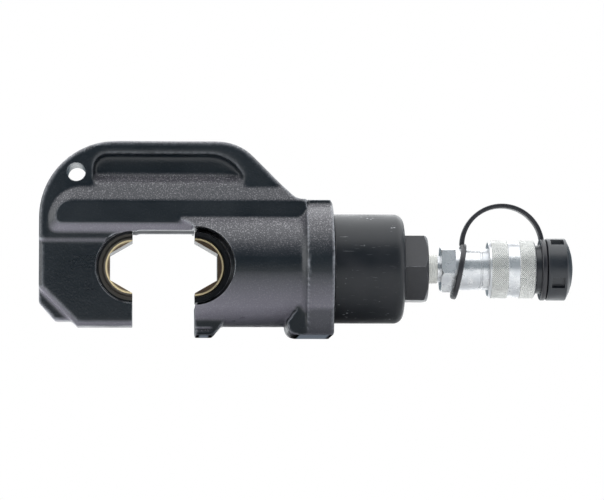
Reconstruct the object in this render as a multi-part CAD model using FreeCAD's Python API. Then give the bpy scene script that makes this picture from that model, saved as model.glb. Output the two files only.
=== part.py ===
import FreeCAD, Part
import math
import os

from FreeCAD import Vector

# Hydraulic C-head crimping tool, in millimetres.
# +X runs from the jaw to the coupler, +Z is up and -Y is the front side.
# Shapes are drawn round the ram axis and lifted by AXIS_HEIGHT when they are saved,
# so the origin lies under the middle of the tool, on the surface it stands on.

# Whole tool
HALF_LENGTH = 165.4
AXIS_HEIGHT = 42.3
HEAD_TOP = 77.7

# Jaw and dies
ANVIL_FACE = -108.0
RAM_DIE_FACE = -69.5
STROKE = 38.0
SEAT_RADIUS = 21.9
DIE_RADIUS = 21.82
DIE_HALF_WIDTH = 12.5
DIE_BODY_HALF_WIDTH = 9.5
DIE_BOSS_RADIUS = 17.5
NEST_SIDE = 16.1
CEILING = 22.5

# Head forging, half thicknesses along Y
WEB_HALF = 9.5
RIM_HALF = 16.5
JAW_HALF = 15.5
CORNER_HALF = 9.5
RIDGE_HALF = 21.0
FORGED_EDGE = 2.4

# Head forging, heights above the ram axis
RIDGE_ROOT_LOW = 20.3
RIDGE_LOW = 26.0
RIDGE_HIGH = 40.5
RIDGE_ROOT_HIGH = 51.5
SLOPE_TOP = 57.0
POCKET_TOP = 69.3
JAW_BOTTOM = -36.3
LANYARD_X = -142.6
LANYARD_Z = 58.2
LANYARD_RADIUS = 5.65

# Barrel, collar and foot
BARREL_RADIUS = 36.3
BARREL_CROWN_START = -82.0
WINDOW_RADIUS = 24.2
COLLAR_START = -1.0
COLLAR_END = 15.6
RIB_END = 14.5
COLLAR_RADIUS = 41.0
COLLAR_TOP = 41.9
PAD_START = -13.0
PAD_CORNER = 6.0
PAD_HALF = 27.0
FOOT_START = -69.5
FOOT_END = -58.5
FOOT_HALF = 17.0

# Ram and cylinder
RAM_RADIUS = 25.0
RUNNING_GAP = 0.05
BORE_RADIUS = RAM_RADIUS + RUNNING_GAP
RAM_FRONT = -69.0
RAM_REAR = 48.0
RAM_HOLLOW_RADIUS = 12.0
RAM_HOLLOW_START = -26.0
SPIGOT_START = -20.0
SPIGOT_RADIUS = 30.0
CYLINDER_RADIUS = 33.9
CYLINDER_END = 59.6
CYLINDER_ROUND = 6.0
CYLINDER_FLOOR = 50.0
GUIDE_PIN_X = -31.0
GUIDE_PIN_RADIUS = 3.0
WIPER_START = -43.0
WIPER_END = -40.0
BUSH_START = -39.0
BUSH_END = -34.5
BUSH_RADIUS = 27.5
SEAL_START = 36.0
SEAL_END = 40.0
BACKUP_END = 41.6
SEAL_GROOVE_RADIUS = 21.5
WEAR_START = 43.0
WEAR_END = 46.0
WEAR_GROOVE_RADIUS = 23.0
SPRING_PIN_X = RAM_HOLLOW_START + 5.0
SPRING_PIN_RADIUS = 2.0
SPRING_RADIUS = 8.5
SPRING_REAR = 42.0
ORING_START = -8.0
ORING_END = -5.0
ORING_GROOVE_RADIUS = 27.4
LOCK_SCREW_X = 6.0
LOCK_SCREW_RADIUS = 2.5

# Adapter and coupler
ADAPTER_END = 74.6
ADAPTER_FLATS = 40.0
PORT_RADIUS = 12.0
ANCHOR_RADIUS = 3.0
ANCHOR_END = 57.0
FACE_SEAL_RADIUS = 16.0
FACE_SEAL_DEPTH = 1.2
THREAD_START = 62.0
THREAD_RADIUS = 8.5
TAPE_RADIUS = 8.9
TAPE_END = 81.0
NECK_RADIUS = 8.0
COUPLER_HEX_START = 83.0
COUPLER_HEX_END = 91.9
COUPLER_HEX_FLATS = 26.6
COUPLER_HEX_TURN = -13.0
COUPLER_RADIUS = 12.9
COUPLER_NOSE_RADIUS = 10.8
COUPLER_END = 140.0
SNAP_START = 122.6
SNAP_END = 124.0
SNAP_DEPTH = 0.9
SNAP_RADIUS = 14.1
NOSE_SEAL_START = 133.0
NOSE_SEAL_END = 135.2
NOSE_SEAL_RADIUS = 6.4
POPPET_START = 119.0
POPPET_SPRING_START = 109.0
SLEEVE_START = 112.4
SLEEVE_END = 141.5
SLEEVE_RADIUS = 18.0
SLEEVE_SOCKET_RADIUS = 15.2
SLEEVE_SOCKET_START = 127.0

# Dust cap and strap
CAP_NECK_RADIUS = 15.0
CAP_RADIUS = 19.3
CAP_FLANGE_START = 148.6
CAP_SKIRT_START = 130.0
CAP_ORING_START = 132.0
CAP_ORING_END = 134.0
CAP_GROOVE_RADIUS = 13.4
CAP_DRUM_END = 160.6
CAP_RECESS_START = 150.6
CAP_RECESS_END = 159.6
CAP_RECESS_DEPTH = 2.4
CAP_RECESS_HALF = 4.2
STRAP_THICKNESS = 2.9
STRAP_HALF_WIDTH = 4.0
LOOP_THICKNESS = 3.2
LOOP_START = 145.0
NECK_LOOP_RADIUS = 17.7
NECK_LOOP_HOLE = 14.9
NECK_LOOP_LEAN = 11.0
NECK_LOOP_X = 94.4
NECK_LOOP_DROP = 1.3

# Detent hardware
BALL_RADIUS = 2.5
BALL_CLEARANCE = 0.4
DETENT_BORE = 2.6
BALL_OFFSET = SEAT_RADIUS + 0.3
ANVIL_SCREW_START = -164.6
ANVIL_SCREW_END = -147.0
ANVIL_SCREW_RADIUS = 3.5
RAM_SCREW_START = -33.0
DETENT_SPRING_OUTER = 2.3
DETENT_SPRING_INNER = 1.6


def point(x, z, y=0.0):
    return Vector(x, y, z)


def cyl_x(radius, start, end, y=0.0, z=0.0):
    """Cylinder along X."""
    return Part.makeCylinder(radius, end - start, Vector(start, y, z), Vector(1, 0, 0))


def cyl_y(radius, half_width, x, z):
    """Cylinder along Y, centred on the middle plane."""
    return Part.makeCylinder(radius, 2 * half_width, Vector(x, -half_width, z), Vector(0, 1, 0))


def ring_x(outer, inner, start, end):
    """Plain ring round the ram axis."""
    return cyl_x(outer, start, end).cut(cyl_x(inner, start - 1, end + 1))


def cone_x(radius_start, radius_end, start, end):
    return Part.makeCone(radius_start, radius_end, end - start, Vector(start, 0, 0), Vector(1, 0, 0))


def block(x0, x1, y0, y1, z0, z1):
    return Part.makeBox(x1 - x0, y1 - y0, z1 - z0, Vector(x0, y0, z0))


def turned(profile):
    """Solid of revolution round the ram axis, from (x, radius) points."""
    points = [Vector(x, 0, r) for x, r in profile]
    face = Part.Face(Part.makePolygon(points + points[:1]))
    return face.revolve(Vector(0, 0, 0), Vector(1, 0, 0), 360)


def plate(edges, half_width):
    """Plate of an XZ outline, centred on the middle plane."""
    face = Part.Face(Part.Wire(edges))
    face.translate(Vector(0, -half_width, 0))
    return face.extrude(Vector(0, 2 * half_width, 0))


def lines(points):
    """Straight edges through the points in turn."""
    return [Part.makeLine(a, b) for a, b in zip(points, points[1:])]


def arc(start, middle, end):
    return Part.Arc(start, middle, end).toShape()


def on_circle(centre_x, centre_z, radius, degrees):
    angle = math.radians(degrees)
    return point(centre_x + radius * math.cos(angle), centre_z + radius * math.sin(angle))


def corner_arc(centre_x, centre_z, radius, first, last):
    """Arc round a centre from one angle to another, in degrees."""
    middle = (first + last) / 2
    return arc(*[on_circle(centre_x, centre_z, radius, a) for a in (first, middle, last)])


def along_x(section, start, end):
    """Solid of a (y, z) section run along X."""
    points = [Vector(start, y, z) for y, z in section]
    face = Part.Face(Part.makePolygon(points + points[:1]))
    return face.extrude(Vector(end - start, 0, 0))


def hex_prism(flats, start, end, turn):
    """Hexagon bar along X with one corner towards the front, turned by some degrees."""
    radius = flats / math.sqrt(3)
    section = []
    for step in range(6):
        angle = math.radians(60 * step + turn)
        section.append((-radius * math.cos(angle), radius * math.sin(angle)))
    return along_x(section, start, end)


def face_rim_edges(solid, half_width):
    """Outline edges that lie in the front and back faces of a plate."""
    found = []
    for edge in solid.Edges:
        box = edge.BoundBox
        flat = box.YLength < 1e-4
        if flat and abs(abs(box.YMin) - half_width) < 1e-3:
            found.append(edge)
    return found


# ---------------------------------------------------------------- head forging

CROWN_RADIUS = 47.1
CROWN_X = -118.3
CROWN_Z = HEAD_TOP - CROWN_RADIUS
SHOULDER_RADIUS = 31.0
SHOULDER_X = -55.6
SHOULDER_Z = HEAD_TOP - SHOULDER_RADIUS


def head_outline(low):
    """Closed outline of the head above a given height, out to the collar on the right."""
    diagonal_start = on_circle(SHOULDER_X, SHOULDER_Z, SHOULDER_RADIUS, 45)
    bend = 10.0
    bend_x = diagonal_start.x + diagonal_start.z - COLLAR_TOP + bend * math.tan(math.pi / 8)
    bend_z = COLLAR_TOP + bend
    right = COLLAR_START + 1.0
    return (
        [corner_arc(CROWN_X, CROWN_Z, CROWN_RADIUS, 180, 90)]
        + lines([point(CROWN_X, HEAD_TOP), point(SHOULDER_X, HEAD_TOP)])
        + [corner_arc(SHOULDER_X, SHOULDER_Z, SHOULDER_RADIUS, 90, 45)]
        + lines([diagonal_start, on_circle(bend_x, bend_z, bend, -135)])
        + [corner_arc(bend_x, bend_z, bend, -135, -90)]
        + lines([point(bend_x, COLLAR_TOP), point(right, COLLAR_TOP), point(right, low),
                 point(-HALF_LENGTH, low), point(-HALF_LENGTH, CROWN_Z)])
    )


def ridge_outline(left, low, high, corner, foot_corner, depth):
    """Outline of the ridge at one depth: flat top and bottom with a round left end."""
    right = COLLAR_START
    top_left = point(left + corner, high, depth)
    upper = on_circle(left + corner, high - corner, corner, 135)
    side_top = point(left, high - corner, depth)
    side_low = point(left, low + foot_corner, depth)
    lower = on_circle(left + foot_corner, low + foot_corner, foot_corner, 225)
    low_left = point(left + foot_corner, low, depth)
    return Part.Wire(
        lines([point(right, high, depth), top_left])
        + [arc(top_left, point(upper.x, upper.z, depth), side_top)]
        + lines([side_top, side_low])
        + [arc(side_low, point(lower.x, lower.z, depth), low_left)]
        + lines([low_left, point(right, low, depth), point(right, high, depth)])
    )


def ridge(side):
    """Raised ridge over the mouth on one face, with sloped flanks."""
    root = ridge_outline(-161.0, RIDGE_ROOT_LOW, RIDGE_ROOT_HIGH, 24.0, 5.0, side * JAW_HALF)
    crest = ridge_outline(-155.0, RIDGE_LOW, RIDGE_HIGH, 10.0, 4.0, side * RIDGE_HALF)
    whole = Part.makeLoft([root, crest], True, True)
    return whole.common(plate(head_outline(0), 2 * RIDGE_HALF))


def pocket(side):
    """Finger recess in one face of the head, round at both upper corners."""
    left = -132.0
    right = -38.0
    small = 9.0
    large = 23.0
    low = RIDGE_LOW + 4
    edges = (
        [corner_arc(left + small, POCKET_TOP - small, small, 180, 90)]
        + lines([point(left + small, POCKET_TOP), point(right - large, POCKET_TOP)])
        + [corner_arc(right - large, POCKET_TOP - large, large, 90, 0)]
        + lines([point(right, POCKET_TOP - large), point(right, low), point(left, low),
                 point(left, POCKET_TOP - small)])
    )
    face = Part.Face(Part.Wire(edges))
    face.translate(Vector(0, side * WEB_HALF, 0))
    return face.extrude(Vector(0, side * 20, 0))


def pocket_slope(side):
    """Sloping lower wall of the finger recess, down to the ridge."""
    section = [(side * 5, SLOPE_TOP), (side * WEB_HALF, SLOPE_TOP), (side * JAW_HALF, RIDGE_ROOT_HIGH),
               (side * JAW_HALF, RIDGE_LOW), (side * 5, RIDGE_LOW)]
    return along_x(section, -134.0, -36.0)


def left_jaw():
    """Anvil jaw: full plate with a cut corner over a thinner corner flange."""
    right = ANVIL_FACE
    full = lines([
        point(-HALF_LENGTH, CROWN_Z), point(right, CROWN_Z), point(right, JAW_BOTTOM),
        point(-142.0, JAW_BOTTOM), point(-HALF_LENGTH, -13.0), point(-HALF_LENGTH, CROWN_Z)])
    flange = lines([
        point(-HALF_LENGTH, 0), point(right - 10, 0), point(right - 10, -33.0),
        point(-155.5, -33.0), point(-HALF_LENGTH, -22.0), point(-HALF_LENGTH, 0)])
    front = plate(full, JAW_HALF)
    rim = [e for e in face_rim_edges(front, JAW_HALF) if e.BoundBox.ZMin < CROWN_Z - 1]
    rim = [e for e in rim if e.BoundBox.XMin < right - 1]
    return front.makeChamfer(FORGED_EDGE, rim).fuse(plate(flange, CORNER_HALF))


def collar():
    """Collar that the cylinder screws into, with a top rib and a flat pad to stand on."""
    body = cyl_x(COLLAR_RADIUS, COLLAR_START, COLLAR_END)
    rib = block(COLLAR_START, RIB_END, -14, 14, 20, COLLAR_TOP)
    base = -AXIS_HEIGHT
    side = COLLAR_RADIUS * math.cos(math.radians(40))
    drop = -COLLAR_RADIUS * math.sin(math.radians(40))
    cheeks = along_x([(-PAD_HALF, base), (PAD_HALF, base), (side, drop), (side, 0),
                      (-side, 0), (-side, drop)], COLLAR_START, COLLAR_END)
    toe = base + PAD_CORNER
    profile = (
        [corner_arc(PAD_START + PAD_CORNER, toe, PAD_CORNER, 180, 270)]
        + lines([point(PAD_START + PAD_CORNER, base), point(COLLAR_END, base),
                 point(COLLAR_END, -22), point(-4.0, -22), point(PAD_START, -34),
                 point(PAD_START, toe)])
    )
    return body.fuse([rib, cheeks, plate(profile, PAD_HALF)])


def foot():
    """Front foot under the barrel."""
    base = -AXIS_HEIGHT
    profile = lines([
        point(FOOT_START, -28), point(FOOT_START, base), point(FOOT_END, base),
        point(FOOT_END + 6.0, -35.5), point(FOOT_END + 6.0, -28), point(FOOT_START, -28)])
    groove = block(FOOT_START - 1, FOOT_END, -FOOT_HALF - 1, 1.2 - FOOT_HALF, base + 2.5, base + 5.0)
    mirrored = groove.mirror(Vector(0, 0, 0), Vector(0, 1, 0))
    return plate(profile, FOOT_HALF).cut(groove).cut(mirrored)


def head_casting():
    """One forging: C-shaped head, barrel, collar and foot, with all its machined bores."""
    slab = plate(head_outline(CEILING - 6), RIM_HALF)
    rim = [e for e in face_rim_edges(slab, RIM_HALF)
           if e.BoundBox.ZMin > CROWN_Z - 1 and e.BoundBox.ZMax > COLLAR_TOP + 0.5]
    slab = slab.makeFillet(FORGED_EDGE, rim)
    slab = slab.cut(pocket(-1)).cut(pocket(1))
    barrel = cyl_x(BARREL_RADIUS, RAM_DIE_FACE, COLLAR_START + 2)
    start = BARREL_CROWN_START
    crown_cut = plate(lines([point(start, 30.5), point(RAM_DIE_FACE + 1, 23.5),
                             point(RAM_DIE_FACE + 1, 45), point(start, 45), point(start, 30.5)]), 60)
    crown = cyl_x(BARREL_RADIUS, start, RAM_DIE_FACE + 1).common(crown_cut)
    fillet = cone_x(BARREL_RADIUS, COLLAR_RADIUS - 1.0, COLLAR_START - 4.0, COLLAR_START)
    body = slab.fuse([ridge(-1), ridge(1), pocket_slope(-1), pocket_slope(1), barrel, crown,
                      fillet, left_jaw(), collar(), foot()])
    width = 40.0
    mouth = plate(
        [corner_arc(-113.0, CEILING - 5.5, 5.0, 90, 0)]
        + lines([point(-108.0, CEILING - 5.5), point(-108.0, -60), point(RAM_DIE_FACE, -60),
                 point(RAM_DIE_FACE, CEILING), point(-100.0, CEILING),
                 point(-113.0, CEILING - 0.5)]), width)
    window = cyl_y(WINDOW_RADIUS, 60, RAM_DIE_FACE, 0)
    window = window.common(block(RAM_DIE_FACE, 0, -60, 60, -30, 30))
    cuts = [
        mouth,
        cyl_y(SEAT_RADIUS, width, ANVIL_FACE, 0),
        window,
        cyl_x(BORE_RADIUS, RAM_FRONT - STROKE - 1.0, COLLAR_END + 1),
        ring_x(BUSH_RADIUS, RAM_RADIUS - 1, WIPER_START, WIPER_END),
        ring_x(BUSH_RADIUS, RAM_RADIUS - 1, BUSH_START, BUSH_END),
        cyl_x(SPIGOT_RADIUS, SPIGOT_START, COLLAR_END + 1),
        cyl_y(LANYARD_RADIUS, width, LANYARD_X, LANYARD_Z),
        Part.makeCylinder(GUIDE_PIN_RADIUS, 20, Vector(GUIDE_PIN_X, 0, -40), Vector(0, 0, 1)),
        cyl_x(DETENT_BORE, -HALF_LENGTH - 1, ANVIL_FACE - SEAT_RADIUS + 2),
        cyl_x(ANVIL_SCREW_RADIUS, -HALF_LENGTH - 1, ANVIL_SCREW_END),
        Part.makeCylinder(LOCK_SCREW_RADIUS, 30, Vector(LOCK_SCREW_X, 20, 0), Vector(0, 1, 0)),
    ]
    for cut in cuts:
        body = body.cut(cut)
    return body.removeSplitter()


# ---------------------------------------------------------------- dies

def die(face_x, side):
    """Half-round die with a hexagon nest; side is -1 for the anvil and +1 for the ram.

    The ball's groove is open to the back, so the die slides out to the front.
    """
    body = cyl_y(DIE_RADIUS, DIE_BODY_HALF_WIDTH, face_x, 0)
    boss = cyl_y(DIE_BOSS_RADIUS + 1.2, DIE_HALF_WIDTH, face_x, 0)
    rim = [e for e in boss.Edges if abs(abs(e.BoundBox.YMin) - DIE_HALF_WIDTH) < 1e-3
           and e.BoundBox.YLength < 1e-3]
    boss = boss.makeChamfer(1.2, rim)
    reach = DIE_RADIUS + 5
    keep = block(min(face_x, face_x + side * reach), max(face_x, face_x + side * reach),
                 -20, 20, -reach, reach)
    half = NEST_SIDE / 2
    depth = side * NEST_SIDE * math.sqrt(3) / 2
    mouth = NEST_SIDE
    nest = plate(lines([
        point(face_x - side * 2, mouth), point(face_x, mouth), point(face_x + depth, half),
        point(face_x + depth, -half), point(face_x, -mouth), point(face_x - side * 2, -mouth),
        point(face_x - side * 2, mouth)]), 20)
    channel = BALL_RADIUS + BALL_CLEARANCE
    groove = Part.makeCylinder(channel, 2 * DIE_HALF_WIDTH,
                               Vector(face_x + side * BALL_OFFSET, -channel, 0), Vector(0, 1, 0))
    return body.fuse(boss).common(keep).cut(nest).cut(groove).removeSplitter()


# ---------------------------------------------------------------- ram

def ram():
    body = cyl_x(RAM_RADIUS, RAM_FRONT, RAM_REAR)
    edges = [e for e in body.Edges if e.BoundBox.XLength < 1e-3]
    body = body.makeChamfer(1.0, edges)
    slot = block(GUIDE_PIN_X - 3.2, GUIDE_PIN_X + STROKE + 3.2, -3.2, 3.2, -30, -21.0)
    cuts = [
        cyl_y(SEAT_RADIUS, 30, RAM_DIE_FACE, 0),
        cyl_x(RAM_HOLLOW_RADIUS, RAM_HOLLOW_START, RAM_REAR + 1),
        cyl_x(DETENT_BORE, RAM_DIE_FACE + SEAT_RADIUS - 2, RAM_HOLLOW_START + 1),
        slot,
        ring_x(RAM_RADIUS + 1, SEAL_GROOVE_RADIUS, SEAL_START, BACKUP_END),
        ring_x(RAM_RADIUS + 1, WEAR_GROOVE_RADIUS, WEAR_START, WEAR_END),
        cyl_y(SPRING_PIN_RADIUS, 18.0, SPRING_PIN_X, 0),
    ]
    for cut in cuts:
        body = body.cut(cut)
    return body.removeSplitter()


def detent_ball(seat_x, side):
    return Part.makeSphere(BALL_RADIUS, Vector(seat_x + side * BALL_OFFSET, 0, 0))


# ---------------------------------------------------------------- cylinder

def cylinder_barrel():
    """Cup that screws into the collar and closes the ram's bore."""
    body = turned([
        (SPIGOT_START, BORE_RADIUS), (SPIGOT_START, SPIGOT_RADIUS),
        (COLLAR_END, SPIGOT_RADIUS), (COLLAR_END, CYLINDER_RADIUS - 0.8),
        (COLLAR_END + 0.8, CYLINDER_RADIUS),
        (CYLINDER_END, CYLINDER_RADIUS), (CYLINDER_END, PORT_RADIUS),
        (CYLINDER_FLOOR, PORT_RADIUS), (CYLINDER_FLOOR, BORE_RADIUS)])
    corner = [e for e in body.Edges if e.BoundBox.XMin > CYLINDER_END - 1e-3
              and e.BoundBox.ZMax > CYLINDER_RADIUS - 1e-3]
    body = body.makeFillet(CYLINDER_ROUND, corner)
    lock_hole = Part.makeCylinder(LOCK_SCREW_RADIUS, 4, Vector(LOCK_SCREW_X, 28.0, 0),
                                  Vector(0, 1, 0))
    oring_groove = ring_x(SPIGOT_RADIUS + 1, ORING_GROOVE_RADIUS, ORING_START, ORING_END)
    return body.cut(oring_groove).cut(lock_hole)


def end_adapter():
    """Hexagon adapter: screws into the cylinder and takes the coupler's pipe thread."""
    bar = hex_prism(ADAPTER_FLATS, CYLINDER_END, ADAPTER_END, 0)
    limit = turned([(CYLINDER_END, 0), (CYLINDER_END, 22.6), (CYLINDER_END + 1.0, 23.4),
                    (ADAPTER_END - 2.8, 23.4), (ADAPTER_END, 19.4), (ADAPTER_END, 0)])
    spigot = cyl_x(PORT_RADIUS, CYLINDER_FLOOR, CYLINDER_END + 2)
    body = bar.common(limit).fuse(spigot)
    cuts = [
        cyl_x(THREAD_RADIUS, THREAD_START, ADAPTER_END + 1),
        cyl_x(2.5, CYLINDER_FLOOR - 1, THREAD_START + 1, z=6.0),
        cyl_x(ANCHOR_RADIUS, CYLINDER_FLOOR - 1, ANCHOR_END),
        ring_x(FACE_SEAL_RADIUS, PORT_RADIUS + 1.0, CYLINDER_END - 1,
               CYLINDER_END + FACE_SEAL_DEPTH),
    ]
    for cut in cuts:
        body = body.cut(cut)
    return body.removeSplitter()


def spring_anchor():
    """Stud in the adapter that holds the rear end of the return spring."""
    plate_end = SPRING_REAR + 2.0
    stud = cyl_x(ANCHOR_RADIUS, plate_end, ANCHOR_END)
    return stud.fuse(cyl_x(SPRING_RADIUS, SPRING_REAR, plate_end))


# ---------------------------------------------------------------- coupler

def coupler_body():
    """Male pipe thread, hexagon and barrel of the quick coupler in one piece."""
    bar = hex_prism(COUPLER_HEX_FLATS, COUPLER_HEX_START, COUPLER_HEX_END, COUPLER_HEX_TURN)
    peak = COUPLER_HEX_FLATS / math.sqrt(3)
    limit = turned([(COUPLER_HEX_START, 0), (COUPLER_HEX_START, peak - 1.4),
                    (COUPLER_HEX_START + 1.2, peak + 0.1), (COUPLER_HEX_END - 1.2, peak + 0.1),
                    (COUPLER_HEX_END, peak - 1.4), (COUPLER_HEX_END, 0)])
    shell = turned([
        (THREAD_START, 0), (THREAD_START, THREAD_RADIUS), (TAPE_END, THREAD_RADIUS),
        (TAPE_END, NECK_RADIUS), (COUPLER_HEX_START, NECK_RADIUS),
        (COUPLER_HEX_START, 10.0), (COUPLER_HEX_END, 10.0), (COUPLER_HEX_END, COUPLER_RADIUS),
        (107.2, COUPLER_RADIUS), (107.6, COUPLER_RADIUS - 0.5), (108.4, COUPLER_RADIUS - 0.5),
        (108.8, COUPLER_RADIUS), (SLEEVE_SOCKET_START - 1.0, COUPLER_RADIUS),
        (SLEEVE_SOCKET_START - 1.0, COUPLER_NOSE_RADIUS),
        (COUPLER_END - 0.8, COUPLER_NOSE_RADIUS), (COUPLER_END, COUPLER_NOSE_RADIUS - 0.8),
        (COUPLER_END, 0)])
    body = bar.common(limit).fuse(shell)
    cuts = [
        cyl_x(3.5, THREAD_START - 1, POPPET_SPRING_START),
        cyl_x(7.0, POPPET_SPRING_START - 1, 131.0),
        cyl_x(4.6, 130.0, COUPLER_END + 1),
        ring_x(NOSE_SEAL_RADIUS, 4.0, NOSE_SEAL_START, NOSE_SEAL_END),
        ring_x(COUPLER_RADIUS + 1, COUPLER_RADIUS - SNAP_DEPTH, SNAP_START, SNAP_END),
    ]
    for cut in cuts:
        body = body.cut(cut)
    return body.removeSplitter()


def knurled_sleeve():
    """Locking sleeve with two knurled bands and a plain band between them."""
    inner = COUPLER_RADIUS + RUNNING_GAP
    return turned([
        (SLEEVE_START, inner), (SLEEVE_START, SLEEVE_RADIUS - 1.4),
        (SLEEVE_START + 1.4, SLEEVE_RADIUS), (124.2, SLEEVE_RADIUS),
        (124.7, SLEEVE_RADIUS - 0.5), (131.1, SLEEVE_RADIUS - 0.5),
        (131.6, SLEEVE_RADIUS), (SLEEVE_END - 1.0, SLEEVE_RADIUS),
        (SLEEVE_END, SLEEVE_RADIUS - 1.0), (SLEEVE_END, SLEEVE_SOCKET_RADIUS),
        (SLEEVE_SOCKET_START, SLEEVE_SOCKET_RADIUS), (SLEEVE_SOCKET_START, SNAP_RADIUS + 0.1),
        (SNAP_START - 0.2, SNAP_RADIUS + 0.1), (SNAP_START - 0.2, inner)])


def coupler_poppet():
    return turned([(POPPET_START, 0), (POPPET_START, 6.5), (126.0, 6.5), (128.3, 4.2),
                   (138.0, 4.2), (139.0, 3.2), (139.0, 0)])


# ---------------------------------------------------------------- dust cap and strap

def dust_cap():
    """Moulded cap: a skirt that screws into the sleeve, a neck and a drum with four recesses."""
    shell = turned([
        (CAP_SKIRT_START, 11.6), (CAP_SKIRT_START, 14.4), (CAP_SKIRT_START + 0.5, 14.9),
        (SLEEVE_END + 1.0, 14.9), (SLEEVE_END + 1.0, CAP_NECK_RADIUS),
        (CAP_FLANGE_START, CAP_NECK_RADIUS), (CAP_FLANGE_START, CAP_RADIUS - 0.8),
        (CAP_FLANGE_START + 0.8, CAP_RADIUS), (CAP_DRUM_END, CAP_RADIUS),
        (HALF_LENGTH - 2.6, CAP_RADIUS - 4.4), (HALF_LENGTH - 0.8, CAP_RADIUS - 9.5),
        (HALF_LENGTH, CAP_RADIUS - 17.0), (HALF_LENGTH, 0), (142.0, 0), (142.0, 11.6)])
    shell = shell.cut(ring_x(16.0, CAP_GROOVE_RADIUS, CAP_ORING_START, CAP_ORING_END))
    for step in range(4):
        recess = block(CAP_RECESS_START, CAP_RECESS_END, -CAP_RECESS_HALF, CAP_RECESS_HALF,
                       CAP_RADIUS - CAP_RECESS_DEPTH, CAP_RADIUS + 2)
        recess.rotate(Vector(0, 0, 0), Vector(1, 0, 0), 30 + 90 * step)
        shell = shell.cut(recess)
    return shell


def strap_loop():
    """Strap ring that hangs round the coupler's neck, leaning back."""
    half = LOOP_THICKNESS / 2
    ring = ring_x(NECK_LOOP_RADIUS, NECK_LOOP_HOLE, -half, half)
    ring.rotate(Vector(0, 0, 0), Vector(0, 1, 0), NECK_LOOP_LEAN)
    ring.translate(Vector(NECK_LOOP_X, 0, -NECK_LOOP_DROP))
    return ring


def strap_cap_loop():
    return ring_x(CAP_RADIUS, CAP_NECK_RADIUS + 0.25, LOOP_START, LOOP_START + LOOP_THICKNESS)


ARCH_X = 121.6
ARCH_Z = 14.6
ARCH_RADIUS = 25.0


def strap_band():
    """Strap arch over the sleeve, between the two rings."""
    outer = ARCH_RADIUS + STRAP_THICKNESS / 2
    inner = ARCH_RADIUS - STRAP_THICKNESS / 2
    first = 6
    last = 174
    edges = (
        [corner_arc(ARCH_X, ARCH_Z, outer, last, first)]
        + lines([on_circle(ARCH_X, ARCH_Z, outer, first), on_circle(ARCH_X, ARCH_Z, inner, first)])
        + [corner_arc(ARCH_X, ARCH_Z, inner, first, last)]
        + lines([on_circle(ARCH_X, ARCH_Z, inner, last), on_circle(ARCH_X, ARCH_Z, outer, last)])
    )
    band = plate(edges, STRAP_HALF_WIDTH)
    neck = cyl_x(NECK_LOOP_RADIUS + 0.2, 85.0, 101.0, z=-NECK_LOOP_DROP)
    return band.cut(neck).cut(cyl_x(CAP_RADIUS + 0.1, LOOP_START - 1, 150.0))


# ---------------------------------------------------------------- all sub-parts

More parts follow.
